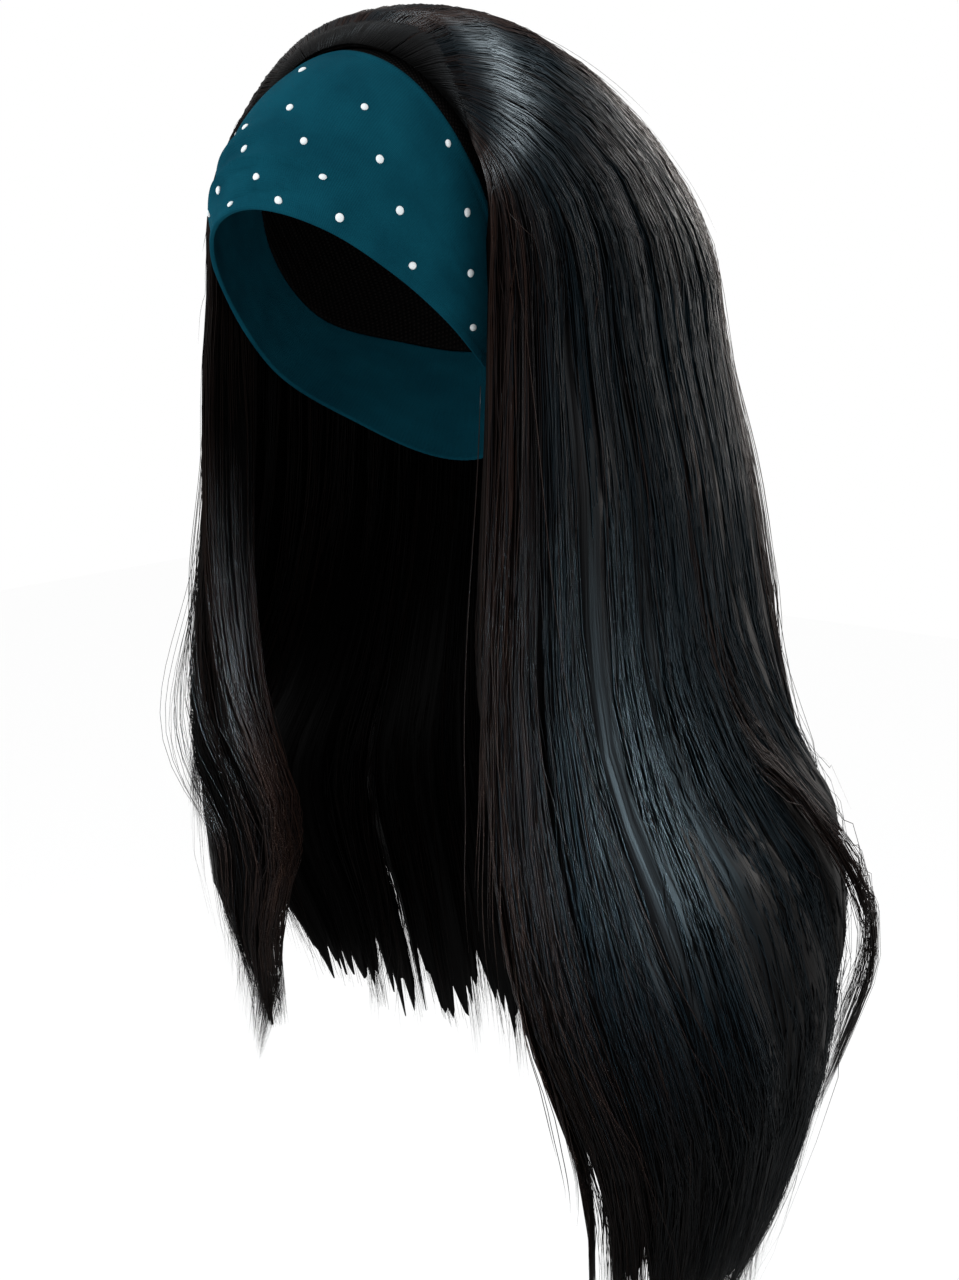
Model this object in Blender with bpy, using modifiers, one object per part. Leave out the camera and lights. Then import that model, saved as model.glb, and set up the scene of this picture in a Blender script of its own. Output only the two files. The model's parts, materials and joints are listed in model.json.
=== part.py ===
"""Headband wig: a wide jersey headband, a thin cap and long hair that falls from behind the band.

Metres, +Z up, the face side towards -Y and the wearer's left towards +X.
The origin is the inside of the cap at the crown of the head.
"""
import math

import bmesh
import bpy
import numpy as np

# Head that the wig fits
HEAD_WIDTH = 0.150
HEAD_DEPTH = 0.192
CROWN_HEIGHT = 0.095
JAW_REACH = 0.24
HEAD_TILT = math.radians(52)
PLAN_ROUNDNESS = 2.0
SIDE_ROUNDNESS = 2.1

# Headband and cap
BAND_WIDTH = 0.101
BAND_WALL = 0.0016
CAP_WALL = 0.0012
SEAM_GAP = 0.0005
FOLD_HEIGHT = 0.0035

# Hair
HAIR_FALL = 0.70
LEFT_SPREAD = 0.124
RIGHT_SPREAD = 0.09
BACK_SPREAD = 0.15
LEFT_FRONT_REACH = 0.104
RIGHT_FRONT_REACH = 0.107
BACK_CORNER = 3.3
LEFT_CORNER = 2.0
RIGHT_CORNER = 2.4
HAIRLINE_TURN = math.radians(46)
HAIRLINE_SETBACK = math.radians(2)
ROOT_LIFT = 0.005
ROOT_LEAN = 0.75
TEMPLE_LEAN = 0.25
ROOT_FULLNESS = 0.45
CROWN_RISE = 0.075
CROWN_FALL = 0.095
CROWN_SPAN = 0.235
HAIR_WALL = 0.020
TIP_WALL = 0.005
ROOT_WALL = 0.0025
HAIR_CLEARANCE = 0.0005
PANEL_GAP = 0.0008
LOCKS_EACH_SIDE = 11
LOCK_DEPTH = 0.006
LOCK_TIP_CUT = 0.055
LOCK_DRIFT = 0.3
WAVE_DEPTH = 0.004
WAVE_LENGTH = 0.27
WAVE_SHIFT = 2.2

# Pouf over the left of the crown: its middle and spread round the wig, and what it adds
# to the crown's lean, rise and fall
POUF_PLACE = 0.42
POUF_SPREAD = 0.20
POUF_LEAN = 0.2
POUF_RISE = 0.02
POUF_FALL = -0.05

# Where along a strand the relief grows, the wall grows and the wall thins
# (0 root, 1 top of the fall, 2 tip)
RELIEF_GROWS = (0.1, 1.2)
WALL_GROWS = (0.0, 0.9)
WALL_THINS = (1.45, 2.0)

# Mesh steps
BAND_COLUMNS = 60
BAND_ROWS = 10
CAP_COLUMNS = 40
CAP_ROWS = 9
COLUMNS_PER_LOCK = 4
CROWN_ROWS = 8
FALL_ROWS = 12
SLOPE_STEP = 0.002

# Edge of the band: turn from the brow (degrees), rear edge (degrees from the tilted
# pole) and width (share of BAND_WIDTH)
BAND_EDGE = (
    (0, 71.0, 1.000),
    (30, 76.0, 0.925),
    (60, 85.5, 0.760),
    (90, 95.0, 0.530),
    (120, 92.0, 0.430),
    (150, 76.0, 0.400),
    (180, 67.0, 0.370),
)

# Soft folds of the band: turn and place across it (share of its width), spread of each,
# and height (share of FOLD_HEIGHT)
FOLDS = (
    (-14, 0.80, 34, 0.060, 1.0),
    (-20, 0.62, 26, 0.055, 0.7),
    (30, 0.90, 20, 0.050, 0.5),
)

# Fall of the hair, a row for each level.
# level: share of HAIR_FALL below the crown
# back: share of BACK_SPREAD beyond the back of the head
# centre: middle of the section behind the head's axis, share of HEAD_DEPTH
# left, right: share of LEFT_SPREAD or RIGHT_SPREAD beyond the side of the head
# left_edge, right_edge: where the front edge is, share of the half width there
# left_front, right_front: how far it is ahead of the centre, share of the front reach
FALL_COLUMNS = ("level", "back", "centre", "left", "left_edge", "left_front",
                "right", "right_edge", "right_front")
FALL = (
    (0.186, 0.563, 0.208, 0.405, 0.741, 0.71, 0.45, 0.70, 0.78),
    (0.286, 0.665, 0.220, 0.530, 0.704, 0.83, 0.51, 0.66, 0.85),
    (0.386, 0.720, 0.230, 0.560, 0.717, 0.94, 0.64, 0.58, 0.97),
    (0.486, 0.775, 0.245, 0.680, 0.673, 0.97, 0.80, 0.44, 1.00),
    (0.571, 0.945, 0.270, 0.950, 0.579, 1.00, 1.05, 0.26, 0.83),
    (0.657, 0.980, 0.286, 1.000, 0.590, 0.90, 1.05, 0.29, 0.83),
    (0.743, 0.920, 0.312, 0.930, 0.638, 0.66, 0.90, 0.41, 0.73),
    (0.829, 0.910, 0.344, 0.800, 0.699, 0.50, 0.82, 0.53, 0.65),
    (0.914, 0.895, 0.365, 0.700, 0.706, 0.42, 0.77, 0.62, 0.51),
    (1.000, 0.827, 0.390, 0.500, 0.800, 0.29, 0.54, 0.72, 0.37),
)

# Length of the hair round the wig: place (-1 right front edge, 0 back, 1 left front
# edge) and lowest tip (share of HAIR_FALL)
TIPS = (
    (-1.00, 0.740),
    (-0.88, 0.765),
    (-0.78, 0.700),
    (-0.68, 0.600),
    (-0.58, 0.760),
    (-0.42, 0.850),
    (0.00, 0.895),
    (0.30, 0.950),
    (0.52, 1.000),
    (0.72, 1.000),
    (0.86, 0.985),
    (1.00, 0.930),
)

# Panels of hair: name, and its right and left edge round the wig
PANELS = (
    ("hair_right", -1.00, -0.36),
    ("hair_back", -0.36, 0.36),
    ("hair_left", 0.36, 1.00),
)

POLE = np.array([0, math.sin(HEAD_TILT), math.cos(HEAD_TILT)])
BROW = np.array([0, -math.cos(HEAD_TILT), math.sin(HEAD_TILT)])
LEFT = np.array([1.0, 0, 0])
CENTRE = np.array([0, 0, -CROWN_HEIGHT])
FALL_TOP = FALL[0][0] * HAIR_FALL


def smooth_column(rows, column, x):
    """Value of a table's column at x, on a smooth curve through its rows."""
    knots = np.array([row[0] for row in rows], float)
    values = np.array([row[column] for row in rows], float)
    slopes = np.gradient(values, knots)
    x = np.clip(np.asarray(x, float), knots[0], knots[-1])
    i = np.clip(np.searchsorted(knots, x) - 1, 0, len(knots) - 2)
    step = knots[i + 1] - knots[i]
    t = (x - knots[i]) / step
    return ((2 * t**3 - 3 * t**2 + 1) * values[i] + (t**3 - 2 * t**2 + t) * step * slopes[i]
            + (3 * t**2 - 2 * t**3) * values[i + 1] + (t**3 - t**2) * step * slopes[i + 1])


def ease(x, start, end):
    """0 before start, 1 after end and a smooth step between."""
    t = np.clip((x - start) / (end - start), 0, 1)
    return t * t * (3 - 2 * t)


def unit(vectors):
    """Vectors of length one."""
    return vectors / np.linalg.norm(vectors, axis=-1, keepdims=True)


# The head

def head_radius(directions):
    """Distance from the head's centre to its surface."""
    reach = np.where(directions[..., 2] > 0, CROWN_HEIGHT, JAW_REACH)
    plan = (np.abs(directions[..., 0] / (HEAD_WIDTH / 2)) ** PLAN_ROUNDNESS
            + np.abs(directions[..., 1] / (HEAD_DEPTH / 2)) ** PLAN_ROUNDNESS)
    plan = plan ** (SIDE_ROUNDNESS / PLAN_ROUNDNESS)
    return (plan + np.abs(directions[..., 2] / reach) ** SIDE_ROUNDNESS) ** (-1 / SIDE_ROUNDNESS)


def head_point(polar, turn, lift=0.0):
    """Point on the head: angle from the tilted pole, turn from the brow, lift off the skin."""
    polar, turn, lift = np.broadcast_arrays(polar, turn, lift)
    ring = np.cos(turn)[..., None] * BROW + np.sin(turn)[..., None] * LEFT
    directions = np.cos(polar)[..., None] * POLE + np.sin(polar)[..., None] * ring
    return CENTRE + directions * (head_radius(directions) + lift)[..., None]


def rear_edge(turn):
    """Polar angle of the band's rear edge."""
    return np.radians(smooth_column(BAND_EDGE, 1, np.degrees(np.abs(turn))))


def band_span(turn):
    """Polar angle that the band covers."""
    share = smooth_column(BAND_EDGE, 2, np.degrees(np.abs(turn)))
    return share * BAND_WIDTH / (HEAD_DEPTH / 2)


def fold_height(turn, across):
    """Lift of the band's soft folds."""
    lift = 0.0
    for fold_turn, fold_across, length, width, height in FOLDS:
        along = (np.degrees(turn) - fold_turn) / length
        beside = (across - fold_across) / width
        lift = lift + height * FOLD_HEIGHT * np.exp(-along**2 - beside**2)
    return lift


# The hair

def fall_outline(depth, place):
    """Outer face of the hair at a depth below the crown."""
    depth, place = np.broadcast_arrays(np.asarray(depth, float), np.asarray(place, float))
    level = depth / HAIR_FALL
    column = {name: smooth_column(FALL, i, level) for i, name in enumerate(FALL_COLUMNS) if i}
    left = place >= 0
    centre = column["centre"] * HEAD_DEPTH
    back = HEAD_DEPTH / 2 + column["back"] * BACK_SPREAD - centre
    side = HEAD_WIDTH / 2 + np.where(left, column["left"] * LEFT_SPREAD,
                                     column["right"] * RIGHT_SPREAD)
    edge_share = np.where(left, column["left_edge"], column["right_edge"])
    edge_ahead = np.where(left, column["left_front"] * LEFT_FRONT_REACH,
                          column["right_front"] * RIGHT_FRONT_REACH)
    front_corner = np.where(left, LEFT_CORNER, RIGHT_CORNER)
    front = edge_ahead / (1 - edge_share**front_corner) ** (1 / front_corner)
    angle = np.abs(place) * np.arctan2(edge_share * side, -edge_ahead)
    corner = np.where(np.cos(angle) > 0, BACK_CORNER, front_corner)
    reach = np.where(np.cos(angle) > 0, back, front)
    radius = (np.abs(np.sin(angle) / side) ** corner
              + np.abs(np.cos(angle) / reach) ** corner) ** (-1 / corner)
    x = np.where(left, 1, -1) * radius * np.sin(angle)
    return np.stack([x, centre + radius * np.cos(angle), -depth], -1)


def tip_depth(place):
    """Depth of the hair's ends, with a notch between locks."""
    lowest = smooth_column(TIPS, 1, place) * HAIR_FALL
    return lowest * (1 - LOCK_TIP_CUT * valley(place))


def valley(place):
    """1 between two locks and 0 on the crest of a lock. The locks differ in width."""
    drift = LOCK_DRIFT * (np.sin(5.3 * place + 1) + np.sin(13 * place))
    return (1 - np.abs(np.sin(math.pi * (LOCKS_EACH_SIDE * place + drift)))) ** 2


def root_point(place):
    """Where the hair leaves the cap, just behind the band."""
    turn = place * HAIRLINE_TURN
    return head_point(rear_edge(turn) - HAIRLINE_SETBACK, turn, ROOT_LIFT)


def crown_curve(place, t):
    """Outer face of the hair over the crown, t from 0 at the root to 1 at the fall's top."""
    root = root_point(place)
    end = fall_outline(FALL_TOP, place)
    end_way = unit(end - fall_outline(FALL_TOP - SLOPE_STEP, place))
    outward = unit(root - CENTRE)
    span = end - root
    along_head = unit(span - outward * np.sum(span * outward, axis=-1, keepdims=True))
    aside = np.square(place)[..., None]
    pouf = np.exp(-np.square((place[..., None] - POUF_PLACE) / POUF_SPREAD))
    lean = ROOT_LEAN + (TEMPLE_LEAN - ROOT_LEAN) * aside + POUF_LEAN * pouf
    root_way = unit(along_head + outward * lean)
    scale = np.linalg.norm(span, axis=-1, keepdims=True) / CROWN_SPAN
    rise = (CROWN_RISE + POUF_RISE * pouf) * (ROOT_FULLNESS + (1 - ROOT_FULLNESS) * scale)
    handle_root = root + root_way * rise
    handle_end = end - end_way * (CROWN_FALL + POUF_FALL * pouf) * scale
    t = t[..., None]
    return ((1 - t)**3 * root + 3 * (1 - t)**2 * t * handle_root
            + 3 * (1 - t) * t**2 * handle_end + t**3 * end)


def strand_point(place, along):
    """Outer face of the hair, along from 0 at the root, 1 at the fall's top, 2 at the tip."""
    place, along = np.broadcast_arrays(np.asarray(place, float), np.asarray(along, float))
    depth = FALL_TOP + (tip_depth(place) - FALL_TOP) * np.clip(along - 1, 0, 1)
    return np.where((along < 1)[..., None], crown_curve(place, np.clip(along, 0, 1)),
                    fall_outline(depth, place))


def surface_normal(place, along):
    """Outward normal of the smooth face."""
    across = (strand_point(place + SLOPE_STEP, along)
              - strand_point(place - SLOPE_STEP, along))
    down = (strand_point(place, np.clip(along + SLOPE_STEP, 0, 2))
            - strand_point(place, np.clip(along - SLOPE_STEP, 0, 2)))
    return unit(np.cross(across, down))


def clear_of_cap(points, clearance):
    """Points moved out, where they need it, to stay clear of the cap and the band."""
    arm = points - CENTRE
    distance = np.linalg.norm(arm, axis=-1, keepdims=True)
    least = head_radius(arm / distance)[..., None] + clearance
    on_head = points[..., 2:3] > CENTRE[2] - HEAD_DEPTH / 2
    return np.where(on_head & (distance < least), CENTRE + arm / distance * least, points)


def hair_faces(place, along):
    """Outer and inner points of a hair panel."""
    face = strand_point(place, along)
    normal = surface_normal(place, along)
    growing = ease(along, *RELIEF_GROWS)
    wave = np.sin(2 * math.pi * -face[..., 2] / WAVE_LENGTH + WAVE_SHIFT * place)
    relief = growing * (WAVE_DEPTH * wave - LOCK_DEPTH * valley(place))
    cover = max(CAP_WALL, BAND_WALL) + HAIR_CLEARANCE
    outer = clear_of_cap(face + normal * relief[..., None], cover + ROOT_WALL)
    wall = ROOT_WALL + (HAIR_WALL - ROOT_WALL) * ease(along, *WALL_GROWS)
    wall = wall + (TIP_WALL - wall) * ease(along, *WALL_THINS)
    smooth_face = face + normal * (growing * WAVE_DEPTH * wave)[..., None]
    inner = clear_of_cap(smooth_face - normal * (wall + LOCK_DEPTH * growing)[..., None], cover)
    return outer, inner


# Blender objects

def material(name, colour, roughness):
    """A Principled material."""
    made = bpy.data.materials.new(name)
    made.use_nodes = True
    shader = made.node_tree.nodes["Principled BSDF"]
    shader.inputs["Base Color"].default_value = (*colour, 1)
    shader.inputs["Roughness"].default_value = roughness
    shader.inputs["Metallic"].default_value = 0.0
    return made


def add_object(name, mesh, collection, colour, roughness):
    """An object in the wig's collection, shaded smooth."""
    piece = bpy.data.objects.new(name, mesh)
    collection.objects.link(piece)
    mesh.materials.append(material(name, colour, roughness))
    mesh.shade_smooth()
    return piece


def sheet_mesh(name, columns, rows, place_vertex):
    """A grid bent into a sheet: place_vertex takes shares round and across."""
    build = bmesh.new()
    bmesh.ops.create_grid(build, x_segments=columns, y_segments=rows, size=0.5)
    shares = np.array([vertex.co[:2] for vertex in build.verts]) + 0.5
    for vertex, point in zip(build.verts, place_vertex(shares[:, 0], shares[:, 1])):
        vertex.co = point
    bmesh.ops.remove_doubles(build, verts=build.verts, dist=0.00001)
    bmesh.ops.recalc_face_normals(build, faces=build.faces)
    first = build.faces[0]
    if (np.array(first.calc_center_median()) - CENTRE) @ np.array(first.normal) < 0:
        bmesh.ops.reverse_faces(build, faces=build.faces)
    mesh = bpy.data.meshes.new(name)
    build.to_mesh(mesh)
    build.free()
    return mesh


def thicken(piece, wall):
    """Cloth wall that grows outwards from the sheet."""
    shell = piece.modifiers.new("wall", "SOLIDIFY")
    shell.thickness = wall
    shell.offset = 1.0
    shell.use_even_offset = True


def add_headband(collection):
    """The band: one loop from the brow round the ears to the nape."""
    def place_vertex(around, across):
        turn = (around * 2 - 1) * math.pi
        trim = SEAM_GAP / HEAD_DEPTH
        polar = rear_edge(turn) + trim + across * band_span(turn)
        return head_point(polar, turn, fold_height(turn, across))
    mesh = sheet_mesh("headband", BAND_COLUMNS, BAND_ROWS, place_vertex)
    piece = add_object("headband", mesh, collection, (0.006, 0.05, 0.075), 0.8)
    thicken(piece, BAND_WALL)


def add_cap(collection):
    """The cap: a thin dome from the band's rear edge over the back of the head."""
    def place_vertex(around, across):
        turn = (around * 2 - 1) * math.pi
        polar = (rear_edge(turn) - SEAM_GAP / HEAD_DEPTH) * across
        return head_point(polar, turn)
    mesh = sheet_mesh("wig_cap", CAP_COLUMNS, CAP_ROWS, place_vertex)
    piece = add_object("wig_cap", mesh, collection, (0.01, 0.009, 0.009), 0.85)
    thicken(piece, CAP_WALL)


def wall_mesh(name, outer, inner):
    """A closed wall between two grids of points."""
    rows, columns = outer.shape[:2]
    points = np.concatenate([outer.reshape(-1, 3), inner.reshape(-1, 3)])
    offset = rows * columns
    faces = []
    for row in range(rows - 1):
        for column in range(columns - 1):
            first = row * columns + column
            quad = (first, first + columns, first + columns + 1, first + 1)
            faces.append(quad)
            faces.append(tuple(offset + corner for corner in reversed(quad)))
    border = list(range(columns))
    border += [row * columns + columns - 1 for row in range(1, rows)]
    border += [(rows - 1) * columns + column for column in range(columns - 2, -1, -1)]
    border += [row * columns for row in range(rows - 2, 0, -1)]
    for first, second in zip(border, border[1:] + border[:1]):
        faces.append((first, second, offset + second, offset + first))
    mesh = bpy.data.meshes.new(name)
    mesh.from_pydata(points.tolist(), [], faces)
    build = bmesh.new()
    build.from_mesh(mesh)
    bmesh.ops.recalc_face_normals(build, faces=build.faces)
    build.to_mesh(mesh)
    build.free()
    return mesh


def add_hair(collection):
    """The panels of hair, side by side with a small gap."""
    root_length = np.linalg.norm(root_point(SLOPE_STEP) - root_point(0.0)) / SLOPE_STEP
    trim = PANEL_GAP / 2 / root_length
    along = np.concatenate([np.linspace(0, 1, CROWN_ROWS + 1)[:-1],
                            np.linspace(1, 2, FALL_ROWS + 1)])
    for name, right_edge, left_edge in PANELS:
        locks = (left_edge - right_edge) * LOCKS_EACH_SIDE
        columns = round(locks * COLUMNS_PER_LOCK)
        place = np.linspace(right_edge + trim, left_edge - trim, columns + 1)
        outer, inner = hair_faces(place[None, :], along[:, None])
        add_object(name, wall_mesh(name, outer, inner), collection, (0.012, 0.009, 0.008), 0.45)


def main():
    for old in list(bpy.data.objects):
        bpy.data.objects.remove(old, do_unlink=True)
    collection = bpy.data.collections.new("headband_wig")
    bpy.context.scene.collection.children.link(collection)
    add_headband(collection)
    add_cap(collection)
    add_hair(collection)


main()
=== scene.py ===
"""Looks of the headband wig: a dotted jersey band, a cap with rows of weft, and long loose hair.

Metres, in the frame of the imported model. Strands follow the same faces as the hair's solids.
"""
import json
import math

import bpy
import numpy as np
from mathutils import Matrix

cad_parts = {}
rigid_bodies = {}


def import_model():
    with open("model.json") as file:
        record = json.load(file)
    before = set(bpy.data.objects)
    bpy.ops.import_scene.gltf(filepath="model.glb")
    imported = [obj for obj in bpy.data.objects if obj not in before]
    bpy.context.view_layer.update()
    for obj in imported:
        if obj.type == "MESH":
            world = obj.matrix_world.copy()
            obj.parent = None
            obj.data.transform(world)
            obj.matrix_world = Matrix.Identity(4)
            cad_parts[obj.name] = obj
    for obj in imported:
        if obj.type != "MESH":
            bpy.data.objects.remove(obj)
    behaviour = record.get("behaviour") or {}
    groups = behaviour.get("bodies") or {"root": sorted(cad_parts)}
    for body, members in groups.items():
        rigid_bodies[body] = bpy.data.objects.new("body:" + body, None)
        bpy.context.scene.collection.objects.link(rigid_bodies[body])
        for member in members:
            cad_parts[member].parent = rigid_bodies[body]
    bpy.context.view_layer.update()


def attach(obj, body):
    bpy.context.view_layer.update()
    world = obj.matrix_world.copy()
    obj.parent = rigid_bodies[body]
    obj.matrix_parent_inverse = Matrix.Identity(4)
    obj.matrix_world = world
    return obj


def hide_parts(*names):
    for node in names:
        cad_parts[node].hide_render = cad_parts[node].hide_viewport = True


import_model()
rng = np.random.default_rng(7)

# Sizes that repeat those of the CAD source
HEAD_WIDTH = 0.150
HEAD_DEPTH = 0.192
CROWN_HEIGHT = 0.095
JAW_REACH = 0.24
HEAD_TILT = math.radians(52)
PLAN_ROUNDNESS = 2.0
SIDE_ROUNDNESS = 2.1
BAND_WIDTH = 0.101
BAND_WALL = 0.0016
CAP_WALL = 0.0012
SEAM_GAP = 0.0005
FOLD_HEIGHT = 0.0035
HAIR_FALL = 0.70
LEFT_SPREAD = 0.124
RIGHT_SPREAD = 0.09
BACK_SPREAD = 0.15
LEFT_FRONT_REACH = 0.104
RIGHT_FRONT_REACH = 0.107
BACK_CORNER = 3.3
LEFT_CORNER = 2.0
RIGHT_CORNER = 2.4
HAIRLINE_TURN = math.radians(46)
HAIRLINE_SETBACK = math.radians(2)
ROOT_LIFT = 0.005
ROOT_LEAN = 0.75
TEMPLE_LEAN = 0.25
ROOT_FULLNESS = 0.45
CROWN_RISE = 0.075
CROWN_FALL = 0.095
CROWN_SPAN = 0.235
POUF_PLACE = 0.42
POUF_SPREAD = 0.20
POUF_LEAN = 0.2
POUF_RISE = 0.02
POUF_FALL = -0.05
HAIR_WALL = 0.020
TIP_WALL = 0.005
ROOT_WALL = 0.0025
HAIR_CLEARANCE = 0.0005
LOCKS_EACH_SIDE = 11
LOCK_DEPTH = 0.006
LOCK_TIP_CUT = 0.055
LOCK_DRIFT = 0.3
WAVE_DEPTH = 0.004
WAVE_LENGTH = 0.27
WAVE_SHIFT = 2.2
RELIEF_GROWS = (0.1, 1.2)
WALL_GROWS = (0.0, 0.9)
WALL_THINS = (1.45, 2.0)
SLOPE_STEP = 0.002
BAND_EDGE = (
    (0, 71.0, 1.000),
    (30, 76.0, 0.925),
    (60, 85.5, 0.760),
    (90, 95.0, 0.530),
    (120, 92.0, 0.430),
    (150, 76.0, 0.400),
    (180, 67.0, 0.370),
)
FOLDS = (
    (-14, 0.80, 34, 0.060, 1.0),
    (-20, 0.62, 26, 0.055, 0.7),
    (30, 0.90, 20, 0.050, 0.5),
)
FALL_COLUMNS = ("level", "back", "centre", "left", "left_edge", "left_front",
                "right", "right_edge", "right_front")
FALL = (
    (0.186, 0.563, 0.208, 0.405, 0.741, 0.71, 0.45, 0.70, 0.78),
    (0.286, 0.665, 0.220, 0.530, 0.704, 0.83, 0.51, 0.66, 0.85),
    (0.386, 0.720, 0.230, 0.560, 0.717, 0.94, 0.64, 0.58, 0.97),
    (0.486, 0.775, 0.245, 0.680, 0.673, 0.97, 0.80, 0.44, 1.00),
    (0.571, 0.945, 0.270, 0.950, 0.579, 1.00, 1.05, 0.26, 0.83),
    (0.657, 0.980, 0.286, 1.000, 0.590, 0.90, 1.05, 0.29, 0.83),
    (0.743, 0.920, 0.312, 0.930, 0.638, 0.66, 0.90, 0.41, 0.73),
    (0.829, 0.910, 0.344, 0.800, 0.699, 0.50, 0.82, 0.53, 0.65),
    (0.914, 0.895, 0.365, 0.700, 0.706, 0.42, 0.77, 0.62, 0.51),
    (1.000, 0.827, 0.390, 0.500, 0.800, 0.29, 0.54, 0.72, 0.37),
)
TIPS = (
    (-1.00, 0.740),
    (-0.88, 0.765),
    (-0.78, 0.700),
    (-0.68, 0.600),
    (-0.58, 0.760),
    (-0.42, 0.850),
    (0.00, 0.895),
    (0.30, 0.950),
    (0.52, 1.000),
    (0.72, 1.000),
    (0.86, 0.985),
    (1.00, 0.930),
)

POLE = np.array([0, math.sin(HEAD_TILT), math.cos(HEAD_TILT)])
BROW = np.array([0, -math.cos(HEAD_TILT), math.sin(HEAD_TILT)])
LEFT = np.array([1.0, 0, 0])
CENTRE = np.array([0, 0, -CROWN_HEIGHT])
FALL_TOP = FALL[0][0] * HAIR_FALL

# Camera of the photograph
CAMERA_PLACE = (0.6377, -0.7430, -0.0866)
CAMERA_RIGHT = (0.7880, 0.6157, 0.0)
CAMERA_UP = (-0.1280, 0.1638, 0.9781)
CAMERA_FORWARD = (-0.6022, 0.7707, -0.2079)
CAMERA_LENS = 54.14
SENSOR = 36.0
FLOOR_HEIGHT = -1.6


# Curves and surfaces shared with the solids

def smooth_column(rows, column, x):
    """Value of a table's column at x, on a smooth curve through its rows."""
    knots = np.array([row[0] for row in rows], float)
    values = np.array([row[column] for row in rows], float)
    slopes = np.gradient(values, knots)
    x = np.clip(np.asarray(x, float), knots[0], knots[-1])
    i = np.clip(np.searchsorted(knots, x) - 1, 0, len(knots) - 2)
    step = knots[i + 1] - knots[i]
    t = (x - knots[i]) / step
    return ((2 * t**3 - 3 * t**2 + 1) * values[i] + (t**3 - 2 * t**2 + t) * step * slopes[i]
            + (3 * t**2 - 2 * t**3) * values[i + 1] + (t**3 - t**2) * step * slopes[i + 1])


def ease(x, start, end):
    """0 before start, 1 after end and a smooth step between."""
    t = np.clip((x - start) / (end - start), 0, 1)
    return t * t * (3 - 2 * t)


def unit(vectors):
    """Vectors of length one."""
    return vectors / np.maximum(np.linalg.norm(vectors, axis=-1, keepdims=True), 1e-12)


def head_radius(directions):
    """Distance from the head's centre to its surface."""
    reach = np.where(directions[..., 2] > 0, CROWN_HEIGHT, JAW_REACH)
    plan = (np.abs(directions[..., 0] / (HEAD_WIDTH / 2)) ** PLAN_ROUNDNESS
            + np.abs(directions[..., 1] / (HEAD_DEPTH / 2)) ** PLAN_ROUNDNESS)
    plan = plan ** (SIDE_ROUNDNESS / PLAN_ROUNDNESS)
    return (plan + np.abs(directions[..., 2] / reach) ** SIDE_ROUNDNESS) ** (-1 / SIDE_ROUNDNESS)


def head_point(polar, turn, lift=0.0):
    """Point on the head: angle from the tilted pole, turn from the brow, lift off the skin."""
    polar, turn, lift = np.broadcast_arrays(polar, turn, lift)
    ring = np.cos(turn)[..., None] * BROW + np.sin(turn)[..., None] * LEFT
    directions = np.cos(polar)[..., None] * POLE + np.sin(polar)[..., None] * ring
    return CENTRE + directions * (head_radius(directions) + lift)[..., None]


def rear_edge(turn):
    """Polar angle of the band's rear edge."""
    return np.radians(smooth_column(BAND_EDGE, 1, np.degrees(np.abs(turn))))


def band_span(turn):
    """Polar angle that the band covers."""
    share = smooth_column(BAND_EDGE, 2, np.degrees(np.abs(turn)))
    return share * BAND_WIDTH / (HEAD_DEPTH / 2)


def fold_height(turn, across):
    """Lift of the band's soft folds."""
    lift = 0.0
    for fold_turn, fold_across, length, width, height in FOLDS:
        along = (np.degrees(turn) - fold_turn) / length
        beside = (across - fold_across) / width
        lift = lift + height * FOLD_HEIGHT * np.exp(-along**2 - beside**2)
    return lift


def fall_outline(depth, place):
    """Outer face of the hair at a depth below the crown."""
    depth, place = np.broadcast_arrays(np.asarray(depth, float), np.asarray(place, float))
    level = depth / HAIR_FALL
    column = {name: smooth_column(FALL, i, level) for i, name in enumerate(FALL_COLUMNS) if i}
    left = place >= 0
    centre = column["centre"] * HEAD_DEPTH
    back = HEAD_DEPTH / 2 + column["back"] * BACK_SPREAD - centre
    side = HEAD_WIDTH / 2 + np.where(left, column["left"] * LEFT_SPREAD,
                                     column["right"] * RIGHT_SPREAD)
    edge_share = np.where(left, column["left_edge"], column["right_edge"])
    edge_ahead = np.where(left, column["left_front"] * LEFT_FRONT_REACH,
                          column["right_front"] * RIGHT_FRONT_REACH)
    front_corner = np.where(left, LEFT_CORNER, RIGHT_CORNER)
    front = edge_ahead / (1 - edge_share**front_corner) ** (1 / front_corner)
    angle = np.abs(place) * np.arctan2(edge_share * side, -edge_ahead)
    corner = np.where(np.cos(angle) > 0, BACK_CORNER, front_corner)
    reach = np.where(np.cos(angle) > 0, back, front)
    radius = (np.abs(np.sin(angle) / side) ** corner
              + np.abs(np.cos(angle) / reach) ** corner) ** (-1 / corner)
    x = np.where(left, 1, -1) * radius * np.sin(angle)
    return np.stack([x, centre + radius * np.cos(angle), -depth], -1)


def tip_depth(place):
    """Depth of the hair's ends, with a notch between locks."""
    lowest = smooth_column(TIPS, 1, place) * HAIR_FALL
    return lowest * (1 - LOCK_TIP_CUT * valley(place))


def broad_phase(place):
    """Runs up by one for each broad lock, and its locks differ in width."""
    drift = LOCK_DRIFT * (np.sin(5.3 * place + 1) + np.sin(13 * place))
    return LOCKS_EACH_SIDE * place + drift


def valley(place):
    """1 between two broad locks and 0 on the crest of one."""
    return (1 - np.abs(np.sin(math.pi * broad_phase(place)))) ** 2


def root_point(place):
    """Where the hair leaves the cap, just behind the band."""
    turn = place * HAIRLINE_TURN
    return head_point(rear_edge(turn) - HAIRLINE_SETBACK, turn, ROOT_LIFT)


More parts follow.
